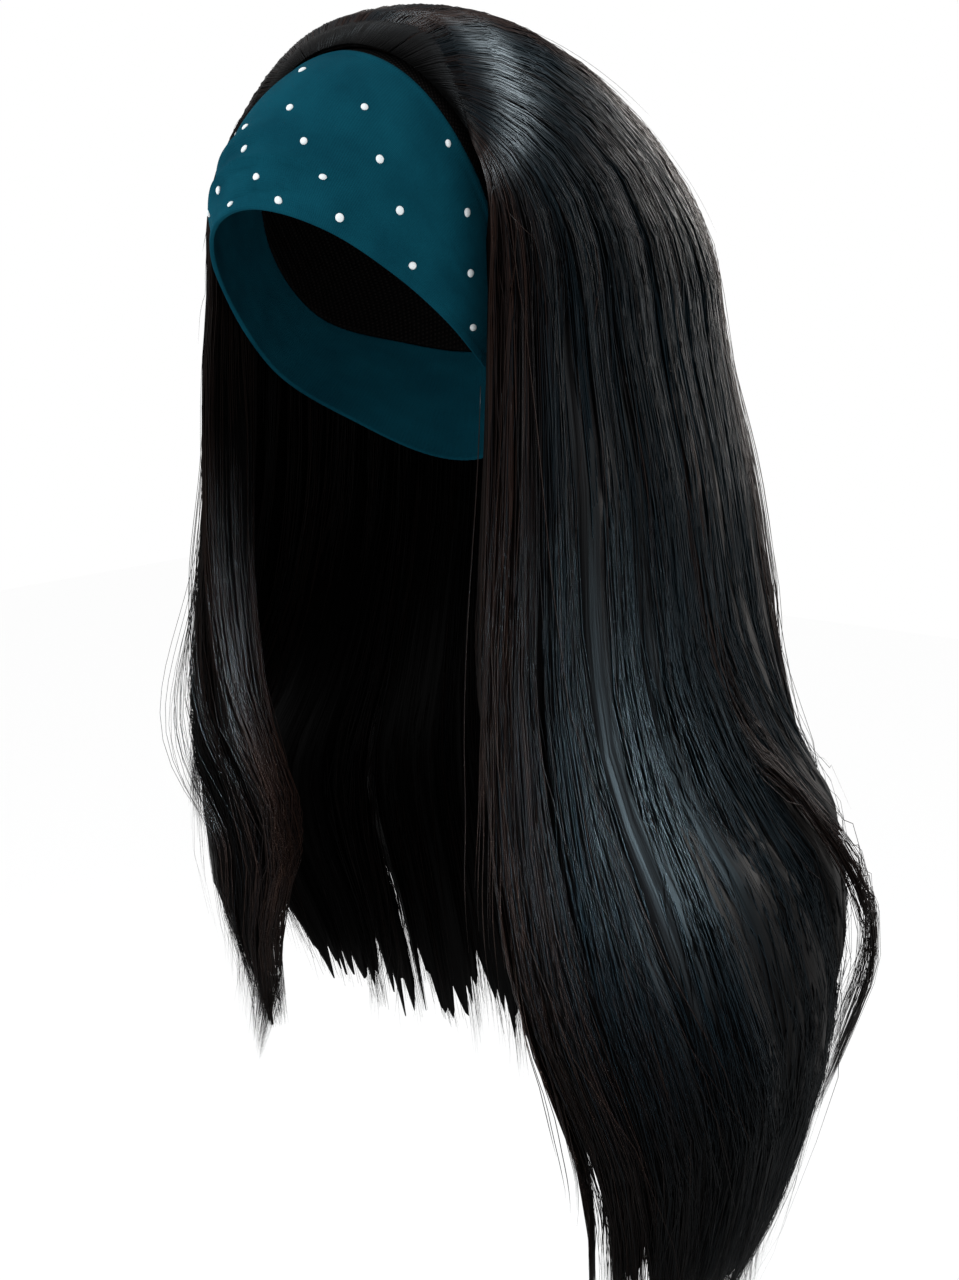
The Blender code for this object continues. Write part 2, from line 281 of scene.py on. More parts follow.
def crown_curve(place, t):
    """Outer face of the hair over the crown, t from 0 at the root to 1 at the fall's top."""
    root = root_point(place)
    end = fall_outline(FALL_TOP, place)
    end_way = unit(end - fall_outline(FALL_TOP - SLOPE_STEP, place))
    outward = unit(root - CENTRE)
    span = end - root
    along_head = unit(span - outward * np.sum(span * outward, axis=-1, keepdims=True))
    aside = np.square(place)[..., None]
    pouf = np.exp(-np.square((place[..., None] - POUF_PLACE) / POUF_SPREAD))
    lean = ROOT_LEAN + (TEMPLE_LEAN - ROOT_LEAN) * aside + POUF_LEAN * pouf
    root_way = unit(along_head + outward * lean)
    scale = np.linalg.norm(span, axis=-1, keepdims=True) / CROWN_SPAN
    rise = (CROWN_RISE + POUF_RISE * pouf) * (ROOT_FULLNESS + (1 - ROOT_FULLNESS) * scale)
    handle_root = root + root_way * rise
    handle_end = end - end_way * (CROWN_FALL + POUF_FALL * pouf) * scale
    t = t[..., None]
    return ((1 - t)**3 * root + 3 * (1 - t)**2 * t * handle_root
            + 3 * (1 - t) * t**2 * handle_end + t**3 * end)


def strand_point(place, along):
    """Outer face of the hair, along from 0 at the root, 1 at the fall's top, 2 at the tip."""
    place, along = np.broadcast_arrays(np.asarray(place, float), np.asarray(along, float))
    depth = FALL_TOP + (tip_depth(place) - FALL_TOP) * np.clip(along - 1, 0, 1)
    return np.where((along < 1)[..., None], crown_curve(place, np.clip(along, 0, 1)),
                    fall_outline(depth, place))


def surface_normal(place, along):
    """Outward normal of the smooth face."""
    across = (strand_point(place + SLOPE_STEP, along)
              - strand_point(place - SLOPE_STEP, along))
    down = (strand_point(place, np.clip(along + SLOPE_STEP, 0, 2))
            - strand_point(place, np.clip(along - SLOPE_STEP, 0, 2)))
    return unit(np.cross(across, down))


def clear_of_cap(points, clearance):
    """Points moved out, where they need it, to stay clear of the cap and the band."""
    arm = points - CENTRE
    distance = np.linalg.norm(arm, axis=-1, keepdims=True)
    least = head_radius(arm / distance)[..., None] + clearance
    on_head = points[..., 2:3] > CENTRE[2] - HEAD_DEPTH / 2
    return np.where(on_head & (distance < least), CENTRE + arm / distance * least, points)


# Finer locks than the solids have, on the same faces

FINE_LOCKS = 31
FINE_DEPTH = 0.0018
COVER = max(CAP_WALL, BAND_WALL) + HAIR_CLEARANCE
LEFT_SWEEP = -0.20
RIGHT_SWEEP = -0.03
SWEEP_GROWS = (1.18, 1.72)
POINT_PLACE = -0.885
POINT_GROWS = (1.50, 2.0)


def fine_phase(place):
    """Runs up by one for each fine lock, and its locks differ in width."""
    return FINE_LOCKS * place + 1.3 * np.sin(7 * place + 2) + 0.7 * np.sin(31 * place)


def fine_valley(place):
    """1 between two fine locks and 0 on the crest of one."""
    return (1 - np.abs(np.sin(math.pi * fine_phase(place)))) ** 1.5


def sweep(place, along):
    """How far the loose hair drifts round the wig on its way down."""
    side = np.where(place > 0, LEFT_SWEEP, RIGHT_SWEEP)
    middle = 16 * np.square(place) * np.square(1 - np.clip(np.abs(place), 0, 1))
    pointed = 0.85 * (POINT_PLACE - place) * ease(-place, 0.66, 0.76) * ease(along, *POINT_GROWS)
    return side * middle * ease(along, *SWEEP_GROWS) + pointed


def hair_faces(start_place, along, lock_place=None):
    """Outer and inner face of the hair, and the outward normal.

    The grooves lie between locks at lock_place, which a strand keeps while it sways.
    """
    lock_place = start_place if lock_place is None else lock_place
    place = start_place + sweep(start_place, along)
    face = strand_point(place, along)
    normal = surface_normal(place, along)
    growing = ease(along, *RELIEF_GROWS)
    wave = WAVE_DEPTH * np.sin(2 * math.pi * -face[..., 2] / WAVE_LENGTH + WAVE_SHIFT * place)
    relief = growing * (wave - LOCK_DEPTH * valley(lock_place))
    relief = relief - ease(along, 0.1, 0.8) * FINE_DEPTH * fine_valley(lock_place)
    outer = clear_of_cap(face + normal * relief[..., None], COVER + ROOT_WALL)
    wall = ROOT_WALL + (HAIR_WALL - ROOT_WALL) * ease(along, *WALL_GROWS)
    wall = wall + (TIP_WALL - wall) * ease(along, *WALL_THINS)
    smooth_face = face + normal * (growing * wave)[..., None]
    inner = clear_of_cap(smooth_face - normal * (wall + LOCK_DEPTH * growing)[..., None], COVER)
    return outer, inner, normal


# Meshes and materials

def make_object(name, points, faces):
    """A mesh object, shaded smooth."""
    mesh = bpy.data.meshes.new(name)
    mesh.from_pydata(points.reshape(-1, 3).tolist(), [], faces.tolist())
    mesh.shade_smooth()
    made = bpy.data.objects.new(name, mesh)
    bpy.context.scene.collection.objects.link(made)
    return made


def add_attribute(piece, name, values):
    """A number for each vertex, which the material reads."""
    attribute = piece.data.attributes.new(name, "FLOAT", "POINT")
    attribute.data.foreach_set("value", np.asarray(values, np.float32).ravel())


def add_uv(piece, uv_of_vertex, name="OFBake"):
    """A UV map from one pair for each vertex."""
    layer = piece.data.uv_layers.new(name=name)
    loops = np.zeros(len(piece.data.loops), np.int32)
    piece.data.loops.foreach_get("vertex_index", loops)
    layer.data.foreach_set("uv", np.asarray(uv_of_vertex, np.float32).reshape(-1, 2)[loops].ravel())


class Shader:
    """A Principled material with helpers that add and link nodes."""

    def __init__(self, name, colour, roughness):
        self.material = bpy.data.materials.new(name)
        self.material.use_nodes = True
        self.tree = self.material.node_tree
        self.principled = self.tree.nodes["Principled BSDF"]
        self.principled.inputs["Base Color"].default_value = (*colour, 1)
        self.principled.inputs["Roughness"].default_value = roughness

    def node(self, kind, **settings):
        made = self.tree.nodes.new(kind)
        for key, value in settings.items():
            if key in made.inputs:
                made.inputs[key].default_value = value
            else:
                setattr(made, key, value)
        return made

    def link(self, source, target):
        self.tree.links.new(source, target)

    def stretched_noise(self, scale, stretch, detail=3.0):
        """Noise on the UV map, long along the strands."""
        uv = self.node("ShaderNodeUVMap", uv_map="OFBake")
        mapping = self.node("ShaderNodeMapping")
        mapping.inputs["Scale"].default_value = (stretch, 1, 1)
        noise = self.node("ShaderNodeTexNoise", Scale=scale, Detail=detail)
        self.link(uv.outputs["UV"], mapping.inputs["Vector"])
        self.link(mapping.outputs["Vector"], noise.inputs["Vector"])
        return noise.outputs["Fac"]

    def ramp(self, source, stops):
        """A colour ramp to the base colour."""
        ramp = self.node("ShaderNodeValToRGB")
        while len(ramp.color_ramp.elements) < len(stops):
            ramp.color_ramp.elements.new(0.5)
        for element, (position, colour) in zip(ramp.color_ramp.elements, stops):
            element.position = position
            element.color = (*colour, 1)
        self.link(source, ramp.inputs["Fac"])
        self.link(ramp.outputs["Color"], self.principled.inputs["Base Color"])

    def bump(self, height, distance, strength=1.0):
        bump = self.node("ShaderNodeBump", Distance=distance, Strength=strength)
        self.link(height, bump.inputs["Height"])
        if self.principled.inputs["Normal"].links:
            self.link(self.principled.inputs["Normal"].links[0].from_socket, bump.inputs["Normal"])
        self.link(bump.outputs["Normal"], self.principled.inputs["Normal"])


def strand_material():
    """Silky dark strands: brown at tone 0, black brown halfway and a cool black at tone 1, which paints
    the cool tint of the highlights.
    """
    shader = Shader("hair_strand", (0.01, 0.008, 0.008), 0.33)
    tone = shader.node("ShaderNodeAttribute", attribute_name="tone")
    streaks = shader.stretched_noise(9.0, 0.4)
    mixed = shader.node("ShaderNodeMath", operation="MULTIPLY_ADD")
    mixed.inputs[1].default_value = 0.3
    shader.link(streaks, mixed.inputs[0])
    shader.link(tone.outputs["Fac"], mixed.inputs[2])
    shader.ramp(mixed.outputs["Value"], (
        (0.15, (0.0040, 0.0017, 0.0011)),
        (0.6, (0.0008, 0.0005, 0.0005)),
        # the cool stop at tone 1 is a painted highlight tint
        (1.0, (0.0005, 0.0011, 0.0015)),
    ))
    shader.principled.inputs["Specular IOR Level"].default_value = 0.045
    return shader.material


def mass_material():
    """The body of the hair under the strands, near-black: the hair's own colour, made darker than the
    strands as painted shade in the depth between them.
    """
    shader = Shader("hair_mass", (0.005, 0.004, 0.004), 0.5)
    streaks = shader.stretched_noise(6.0, 60.0)
    # painted shade: the ramp is darker than the strands' own colour, standing in for the shade deep
    # between them
    shader.ramp(streaks, ((0.35, (0.0002, 0.00015, 0.00015)), (0.75, (0.0008, 0.0006, 0.0006))))
    shader.bump(streaks, 0.0015)
    shader.principled.inputs["Specular IOR Level"].default_value = 0.03
    return shader.material


STRAND = strand_material()
MASS = mass_material()


# The mass of the hair, darkened with painted shade, which stands for the hair's solids

MASS_COLUMNS = 6.0
MASS_ROWS = 34
MASS_INSET = 0.0024
MASS_END = 2.0
MASS_RAGGED = 0.08
PANEL_GAP = 0.0008
PANELS = (
    ("hair_right", -1.00, -0.36),
    ("hair_back", -0.36, 0.36),
    ("hair_left", 0.36, 1.00),
)


def add_mass(name, right_edge, left_edge):
    columns = round((left_edge - right_edge) * FINE_LOCKS * MASS_COLUMNS)
    root_length = np.linalg.norm(root_point(np.array(SLOPE_STEP)) - root_point(np.array(0.0)))
    trim = PANEL_GAP / 2 / (root_length / SLOPE_STEP)
    place = np.linspace(right_edge + trim, left_edge - trim, columns + 1)[None, :]
    ragged = MASS_END - MASS_RAGGED * rng.random((1, columns + 1)) ** 0.7
    along = np.linspace(0, 1, MASS_ROWS + 1)[:, None] * ragged
    place, along = np.broadcast_arrays(place, along)
    outer, inner, normal = hair_faces(place, along)
    room = np.linalg.norm(outer - inner, axis=-1, keepdims=True)
    inset = np.minimum(MASS_INSET, room * 0.3)
    inset = inset + (room * 0.42 - inset) * ease(along, ragged - 0.4, ragged)[..., None]
    outer = outer - normal * inset
    inner = inner + normal * inset
    rows, columns = place.shape
    cell = (np.arange(rows - 1)[:, None] * columns + np.arange(columns - 1)[None, :]).ravel()
    quads = np.stack([cell, cell + columns, cell + columns + 1, cell + 1], -1)
    count = rows * columns
    border = np.concatenate([
        np.arange(columns), np.arange(1, rows) * columns + columns - 1,
        (rows - 1) * columns + np.arange(columns - 2, -1, -1),
        np.arange(rows - 2, 0, -1) * columns])
    following = np.roll(border, -1)
    rim = np.stack([border, following, count + following, count + border], -1)
    faces = np.concatenate([quads, count + quads[:, ::-1], rim])
    piece = make_object(name + "_mass", np.concatenate([outer.reshape(-1, 3), inner.reshape(-1, 3)]),
                        faces)
    uv = np.stack([(place + 1) / 2, along / 2], -1).reshape(-1, 2)
    add_uv(piece, np.concatenate([uv * (0.5, 1), uv * (0.5, 1) + (0.5, 0)]))
    piece.data.materials.append(MASS)
    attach(piece, "root")
    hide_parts(name)
    return piece


# Strands

FULL_STEPS = np.array([0, 0.05, 0.12, 0.21, 0.32, 0.45, 0.60, 0.76, 0.90, 1.04, 1.17,
                       1.29, 1.41, 1.53, 1.64, 1.75, 1.85, 1.93, 2.0]) / 2
SHORT_STEPS = np.linspace(0, 1, 13)
STRAND_WIDTH = 0.00072
STRAND_THICKNESS = 0.00046
ROOT_SINK = 0.0030
BEYOND_TIP = 0.04
FRONT_BEYOND = 0.06
MOST_BEYOND = 0.036


def tube_mesh(name, points, normals, width, thickness, tone):
    """Closed three-sided tubes along rows of points, tapered to a fine tip."""
    strands, steps = points.shape[:2]
    ways = unit(np.gradient(points, axis=1))
    beside = unit(np.cross(ways, normals))
    upward = np.cross(beside, ways)
    half = (width / 2)[..., None] * beside
    rise = (thickness / 2)[..., None] * upward
    corners = np.stack([points + rise, points - half - rise / 2, points + half - rise / 2], 2)
    start = (np.arange(strands)[:, None] * steps + np.arange(steps - 1)[None, :]).ravel() * 3
    sides = [np.stack([start + a, start + b, start + 3 + b, start + 3 + a], -1)
             for a, b in ((0, 1), (1, 2), (2, 0))]
    first = np.arange(strands) * steps * 3
    last = first + (steps - 1) * 3
    ends = [np.stack([first + 2, first + 1, first], -1), np.stack([last, last + 1, last + 2], -1)]
    mesh = bpy.data.meshes.new(name)
    quads = np.concatenate(sides)
    caps = np.concatenate(ends)
    mesh.from_pydata(corners.reshape(-1, 3).tolist(), [], quads.tolist() + caps.tolist())
    mesh.shade_smooth()
    piece = bpy.data.objects.new(name, mesh)
    bpy.context.scene.collection.objects.link(piece)
    add_attribute(piece, "tone", np.repeat(tone[..., None], 3, axis=2))
    u = (np.arange(strands)[:, None, None] + np.array([0.5, 0.15, 0.85])) / strands
    v = np.linspace(0, 1, steps)[None, :, None]
    add_uv(piece, np.stack(np.broadcast_arrays(u, v), -1))
    piece.data.materials.append(STRAND)
    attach(piece, "root")
    return piece


def lock_values(keys, low, high, salt):
    """One random value for each lock, the same for every strand in it."""
    table = np.random.default_rng(salt).uniform(low, high, 512)
    return table[np.asarray(keys, int) % 512]


def flowing(place, depth_share, along, loose, wander):
    """Points and normals of strands that start at a place round the wig.

    loose is how freely each strand sways, and wander how far round it may end from its lock.
    """
    count = len(place)
    place = place[:, None]
    phase = fine_phase(place)
    lock = np.floor(phase)
    gather = lock_values(lock, 0.25, 0.75, 11) * ease(along, 0.1, 1.7)
    gather = gather + (0.85 - gather) * ease(along, 1.82, 2.0)
    moved = place + (lock + 0.5 - phase) / FINE_LOCKS * gather
    broad = broad_phase(place)
    ribbon = np.floor(broad)
    gather = lock_values(ribbon, 0.10, 0.45, 21) * ease(along, 0.3, 1.5)
    moved = moved + (ribbon + 0.5 - broad) / LOCKS_EACH_SIDE * gather
    free = ease(along, 0.7, 1.6)
    moved = moved + 0.016 * free * np.sin(8 * place + 3.0 * along + 1)
    moved = moved + 0.007 * free * np.sin(34 * place + 4.5 * along)
    ribbon_turn = lock_values(ribbon, 0, 2 * math.pi, 22)
    moved = moved + 0.012 * free * np.sin(4.0 * along + ribbon_turn)
    turn = lock_values(lock, 0, 2 * math.pi, 12)
    sway = lock_values(lock, 0.2, 1.0, 13) * 0.012 * ease(along, 0.6, 1.8)
    moved = moved + sway * np.sin(5.5 * along + turn)
    own_turn = rng.uniform(0, 2 * math.pi, (count, 1))
    own_sway = rng.normal(0, 1, (count, 1)) * (0.003 + 0.009 * ease(along, 0.4, 2.0)) * loose
    own_sway = own_sway * ease(along, 0, 0.3)
    moved = moved + own_sway * np.sin(3 * along + own_turn)
    moved = moved + rng.normal(0, 1, (count, 1)) * wander * ease(along, 0.9, 2.0)
    moved = np.clip(moved, -1.01, 1.01)
    outer, inner, normal = hair_faces(moved, along, place)
    points = outer + (inner - outer) * depth_share[..., None]
    lift = lock_values(lock, -1, 1, 14) * 0.0030 * ease(along, 0.5, 1.5)
    lift = lift * np.sin(3.1 * along + turn)
    lift = lift + 0.0035 * free * np.sin(3.6 * along + ribbon_turn * 2)
    own_lift = rng.normal(0, 1, (count, 1)) * 0.0010 * ease(along, 0.3, 2.0) * loose
    lift = lift + own_lift * np.sin(5 * along + own_turn * 2)
    lift = lift - ROOT_SINK * (1 - ease(along, 0, 0.10))
    points = points + normal * lift[..., None]
    points[..., 2] = points[..., 2] - np.clip(along - 2, 0, MOST_BEYOND) * HAIR_FALL
    return clear_of_cap(points, COVER), normal


def lock_lengths(place, shortest):
    """Where strands end: locks differ, and each comes to a point with some shorter strands."""
    phase = fine_phase(place)[:, None]
    lock = np.floor(phase)
    beside = np.abs(phase - lock - 0.5) * 2
    lowest = 2 + BEYOND_TIP * lock_values(lock, -0.6, 1.0, 15)
    lowest = lowest + FRONT_BEYOND * ease(place[:, None], 0.80, 0.98)
    pointed = lowest - 0.06 * beside ** 1.5
    ragged = (1 - shortest) * 2 * rng.random(phase.shape) ** 4.0
    return pointed - ragged


def strand_tone(place, along):
    """A painted highlight: a cool tint in the middle of the left side and by the band, where the
    highlights fall; brown towards the edges and ends.
    """
    place = place[:, None]
    # painted highlight: a cool tint where the highlights fall, on the left side near the band
    painted_highlight_tint = np.exp(-np.square((place - 0.62) / 0.28)) * ease(along, 0.0, 0.3)
    brown = ease(np.abs(place), 0.88, 1.0) + 0.3 * ease(along, 1.6, 2.0)
    brown = brown + 0.8 * np.exp(-np.square((place - 0.30) / 0.10)) + 0.3 * (place < 0)
    own = rng.normal(0, 0.14, (len(place), 1))
    own = own + lock_values(np.floor(broad_phase(place)), -0.15, 0.15, 23)
    return np.clip(0.5 + 0.42 * painted_highlight_tint - 0.30 * brown + own, 0, 1)


def taper(steps):
    """Width along a strand: fine at the root, full between and fine at the tip."""
    return (0.55 + 0.45 * ease(steps, 0, 0.1)) * (1 - 0.84 * ease(steps, 0.84, 1.0))


def add_strands(name, place, depth, start=0.0, shortest=0.86, steps=FULL_STEPS,
                width=1.0, loose=1.0, wander=0.006):
    """Strands at places round the wig and at depths in the wall, 0 outside and 1 inside."""
    order = np.argsort(place)
    place, depth = place[order], depth[order]
    count = len(place)
    along = start + steps[None, :] * (lock_lengths(place, shortest) - start)
    depth = np.broadcast_to(depth[:, None], along.shape)
    points, normal = flowing(place, depth, along, loose, wander)
    own = rng.uniform(0.65, 1.25, (count, 1)) * width
    thin = taper(steps)[None, :] * own
    return tube_mesh(name, points, normal, thin * STRAND_WIDTH, thin * STRAND_THICKNESS,
                     strand_tone(place, along))


for panel, right_edge, left_edge in PANELS:
    add_mass(panel, right_edge, left_edge)

OUTER_STRETCHES = (
    ("strands_right", -1.005, -0.42, 1100),
    ("strands_back_right", -0.42, -0.02, 1000),
    ("strands_back_left", -0.02, 0.36, 1150),
    ("strands_left_rear", 0.36, 0.68, 1250),
    ("strands_left_front", 0.68, 1.005, 1500),
)
for stretch, low, high, count in OUTER_STRETCHES:
    add_strands(stretch, rng.uniform(low, high, count), 0.22 * rng.random(count) ** 1.5)

EDGE_STRANDS = 170
edge_places = np.concatenate([rng.uniform(-1.01, -0.985, EDGE_STRANDS),
                              rng.uniform(0.985, 1.01, EDGE_STRANDS)])
add_strands("strands_front_edges", edge_places, rng.random(2 * EDGE_STRANDS))

INNER_STRANDS = 1000
add_strands("strands_inside", rng.uniform(-0.99, 0.99, INNER_STRANDS),
            1.0 - 0.12 * rng.random(INNER_STRANDS), start=0.75, steps=SHORT_STEPS, width=1.3)

CROSSING_STRANDS = 420
add_strands("strands_crossing", rng.uniform(-0.95, 0.99, CROSSING_STRANDS),
            -0.10 * rng.random(CROSSING_STRANDS), shortest=0.80, width=0.75, loose=3.0,
            wander=0.055)


# Wisps that stand off the hair: place round the wig, along at the start and at the end,
# lift off the face (m) and where it is greatest, drift round the wig, strands and spread (m)
WISP_COLUMNS = ("place", "start", "end", "lift", "peak", "width", "drift", "count", "spread")
WISPS = (
    (0.620, 1.05, 1.82, 0.017, 0.72, 0.24, 0.000, 90, 0.0014),
    (0.610, 1.00, 1.80, 0.012, 0.70, 0.26, 0.000, 30, 0.0020),
    (-0.860, 0.95, 1.86, 0.014, 0.72, 0.30, 0.020, 9, 0.0045),
    (-0.900, 1.00, 1.78, 0.021, 0.80, 0.30, 0.010, 5, 0.0040),
    (-0.940, 0.90, 1.62, 0.009, 0.78, 0.30, -0.010, 10, 0.0040),
    (0.990, 1.05, 1.60, 0.004, 0.86, 0.34, 0.040, 8, 0.0025),
    (0.990, 1.05, 1.45, 0.003, 0.80, 0.30, 0.030, 6, 0.0020),
    (0.980, 1.40, 1.90, 0.004, 0.76, 0.22, 0.050, 8, 0.0030),
    (0.320, 0.60, 1.50, 0.006, 0.80, 0.30, 0.010, 10, 0.0030),
    (0.020, 0.90, 1.90, 0.010, 0.80, 0.26, 0.020, 14, 0.0050),
    (-0.400, 1.00, 1.90, 0.012, 0.78, 0.25, -0.020, 14, 0.0050),
)
WISP_STEPS = np.linspace(0, 1, 25)
FLYAWAYS = 330


def add_wisps():
    """Bundles of strands that bow out from the hair and come back towards it."""
    rows = []
    for row in WISPS:
        wisp = dict(zip(WISP_COLUMNS, row))
        count = wisp["count"]
        side = rng.normal(0, 1, (count, 1))
        place = wisp["place"] + 4 * wisp["spread"] * side + wisp["drift"] * WISP_STEPS[None, :] ** 2
        end = wisp["end"] - 0.10 * rng.random((count, 1)) ** 2
        along = wisp["start"] + (end - wisp["start"]) * WISP_STEPS[None, :]
        beside = (WISP_STEPS[None, :] - wisp["peak"]) / wisp["width"]
        bow = np.exp(-np.square(beside)) * ease(WISP_STEPS, 0, 0.5)
        fan = rng.normal(0, 1, (count, 1)) * wisp["spread"] * ease(WISP_STEPS, 0.1, 0.9)
        lift = wisp["lift"] * rng.uniform(0.75, 1.0, (count, 1)) * bow + fan * 0.5
        rows.append((place, along, lift))
    place, along, lift = (np.concatenate(part) for part in zip(*rows))
    outer, inner, normal = hair_faces(place, along)
    points = clear_of_cap(outer + normal * lift[..., None], COVER)
    thin = taper(WISP_STEPS)[None, :] * rng.uniform(0.45, 0.8, (len(place), 1))
    tone = np.clip(0.25 + rng.normal(0, 0.12, (len(place), 1)) + 0 * along, 0, 1)
    return tube_mesh("strands_wisps", points, normal, thin * STRAND_WIDTH,
                     thin * STRAND_THICKNESS, tone)


def add_flyaways():
    """Single fine hairs that leave the outline and curl a little."""
    place = rng.uniform(-1, 1, (FLYAWAYS, 1))
    start = rng.uniform(0.15, 1.6, (FLYAWAYS, 1))
    reach = rng.uniform(0.20, 0.5, (FLYAWAYS, 1))
    along = np.minimum(start + reach * SHORT_STEPS[None, :], 2)
    drift = rng.normal(0, 0.03, (FLYAWAYS, 1)) * SHORT_STEPS[None, :] ** 1.5
    curl = 0.006 * np.sin(5 * SHORT_STEPS[None, :] + rng.uniform(0, 6, (FLYAWAYS, 1)))
    place = np.clip(place + drift + curl * SHORT_STEPS, -1.01, 1.01)
    lift = rng.uniform(0.001, 0.006, (FLYAWAYS, 1)) * SHORT_STEPS[None, :] ** 1.3
    outer, inner, normal = hair_faces(place, along)
    points = clear_of_cap(outer + normal * lift[..., None], COVER)
    thin = taper(SHORT_STEPS)[None, :] * rng.uniform(0.35, 0.55, (FLYAWAYS, 1))
    tone = np.clip(0.4 + rng.normal(0, 0.15, (FLYAWAYS, 1)) + 0 * along, 0, 1)
    return tube_mesh("strands_flyaway", points, normal, thin * STRAND_WIDTH,
                     thin * STRAND_THICKNESS, tone)


add_wisps()
add_flyaways()


# The band

BAND_TURNS = 200
BAND_ROWS = 38
HEM_WIDTH = 0.0045
HEM_RISE = 0.0005
HEM_GROOVE = 0.0003
BAND_TRIM = SEAM_GAP / HEAD_DEPTH

# Sharp creases between the folds: turn of the middle (degrees) and place across there,
# slope across for each degree, half length (degrees), half width across and depth
CREASES = (
    (-2, 0.800, -0.0016, 24, 0.012, 0.0030),
    (3, 0.905, -0.0020, 15, 0.010, 0.0024),
    (-24, 0.700, -0.0010, 14, 0.014, 0.0011),
    (47, 0.870, 0.0012, 15, 0.012, 0.0007),
    (74, 0.600, 0.0030, 12, 0.016, 0.0006),
)


def band_relief(turn, across):
    """Lift of the jersey's outer face: folds, creases and a turned hem at both edges."""
    degrees = np.degrees(turn)
    lift = fold_height(turn, across)
    for middle, place, slope, length, width, depth in CREASES:
        aside = degrees - middle
        beside = (across - place - slope * aside) / width
        soft = np.exp(-np.square(aside / length))
        lift = lift - depth * soft * np.exp(-np.square(beside))
        lift = lift + 0.80 * depth * soft * np.exp(-np.square((beside + 2.2) / 1.6))
    lift = lift + 0.0003 * np.sin(degrees / 9 + 7 * across) * np.sin(5 * across + degrees / 23)
    span = band_span(turn) * HEAD_DEPTH / 2
    edge = np.minimum(across, 1 - across) * span
    hem = HEM_RISE * (1 - ease(edge, HEM_WIDTH * 0.85, HEM_WIDTH * 1.1))
    groove = HEM_GROOVE * np.exp(-np.square((edge - HEM_WIDTH * 1.1) / 0.0006))
    return np.maximum(lift, -0.0012) + hem - groove


def band_point(turn, across, lift):
    """Point of the band, with its lift off the head."""
    turn, across, lift = np.broadcast_arrays(turn, across, lift)
    return head_point(rear_edge(turn) + BAND_TRIM + across * band_span(turn), turn, lift)


def ring_faces(rows, columns, closed_rows):
    """Quads of a grid that joins up from its last column to its first, and by rows if asked."""
    row = np.arange(rows if closed_rows else rows - 1)[:, None]
    column = np.arange(columns)[None, :]
    below = (row + 1) % rows
    beside = (column + 1) % columns
    corners = (row * columns + column, row * columns + beside,
               below * columns + beside, below * columns + column)
    return np.stack(np.broadcast_arrays(*corners), -1).reshape(-1, 4)


def jersey_material():
    """Matte teal jersey: fine ribs of knit, loose fibres and a slightly uneven dye."""
    shader = Shader("teal_jersey", (0.003, 0.035, 0.05), 0.82)
    uv = shader.node("ShaderNodeUVMap", uv_map="OFBake")
    place = shader.node("ShaderNodeMapping")
    place.inputs["Scale"].default_value = (0.56, 0.10, 1)
    shader.link(uv.outputs["UV"], place.inputs["Vector"])
    ribs = shader.node("ShaderNodeTexWave", Scale=260.0, Distortion=1.2, wave_type="BANDS",
                       bands_direction="X")
    ribs.inputs["Detail Scale"].default_value = 6.0
    loops = shader.node("ShaderNodeTexWave", Scale=330.0, Distortion=2.0, wave_type="BANDS",
                        bands_direction="Y")
    loops.inputs["Detail Scale"].default_value = 5.0
    fibres = shader.node("ShaderNodeTexNoise", Scale=900.0, Detail=3.0)
    dye = shader.node("ShaderNodeTexNoise", Scale=38.0, Detail=4.0)
    for texture in (ribs, loops, fibres, dye):
        shader.link(place.outputs["Vector"], texture.inputs["Vector"])
    knit = shader.node("ShaderNodeMath", operation="ADD")
    shader.link(ribs.outputs["Fac"], knit.inputs[0])
    shader.link(loops.outputs["Fac"], knit.inputs[1])
    shader.bump(knit.outputs["Value"], 0.00016, 0.7)
    shader.bump(fibres.outputs["Fac"], 0.0002, 0.5)
    mottle = shader.node("ShaderNodeMath", operation="MULTIPLY_ADD")
    mottle.inputs[1].default_value = 0.35
    shader.link(fibres.outputs["Fac"], mottle.inputs[0])
    shader.link(dye.outputs["Fac"], mottle.inputs[2])
    shader.ramp(mottle.outputs["Value"], ((0.45, (0.0024, 0.0380, 0.0590)),
                                          (0.90, (0.0036, 0.0570, 0.0850))))
    shader.principled.inputs["Sheen Weight"].default_value = 0.002
    shader.principled.inputs["Sheen Roughness"].default_value = 0.5
    shader.principled.inputs["Specular IOR Level"].default_value = 0.005
    return shader.material


def add_band():
    turn = np.linspace(-math.pi, math.pi, BAND_TURNS, endpoint=False)[None, :]
    share = np.linspace(0, math.pi, BAND_ROWS)
    outer = (0.5 - 0.5 * np.cos(share)) * 0.5 + 0.5 * np.linspace(0, 1, BAND_ROWS)
    edge = 0.0035
    outer = edge + outer * (1 - 2 * edge)
    across = np.concatenate([[0.0012], outer, [0.9988, 0.9988], outer[::-1], [0.0012]])[:, None]
    outer_lift = BAND_WALL + band_relief(turn, outer[:, None])
    inner_lift = np.broadcast_to(0.5 * fold_height(turn, outer[::-1, None]), outer_lift.shape)
    rear_lift, front_lift = outer_lift[:1], outer_lift[-1:]
    lift = np.concatenate([rear_lift * 0.72, outer_lift, front_lift * 0.72, front_lift * 0.28,
                           inner_lift, rear_lift * 0.28])
    piece = make_object("band_jersey", band_point(turn, across, lift),
                        ring_faces(len(across), BAND_TURNS, True)[:, ::-1])
    around = np.broadcast_to((turn / math.pi + 1) / 2, lift.shape)
    add_uv(piece, np.stack([around, np.broadcast_to(across, lift.shape)], -1))
    piece.data.materials.append(jersey_material())
    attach(piece, "root")
    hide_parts("headband")
    return piece


# Raised white dots on the band

DOT_RADIUS = 0.0019
DOT_RISE = 0.0010
DOT_SIDES = 20
DOT_RINGS = 6

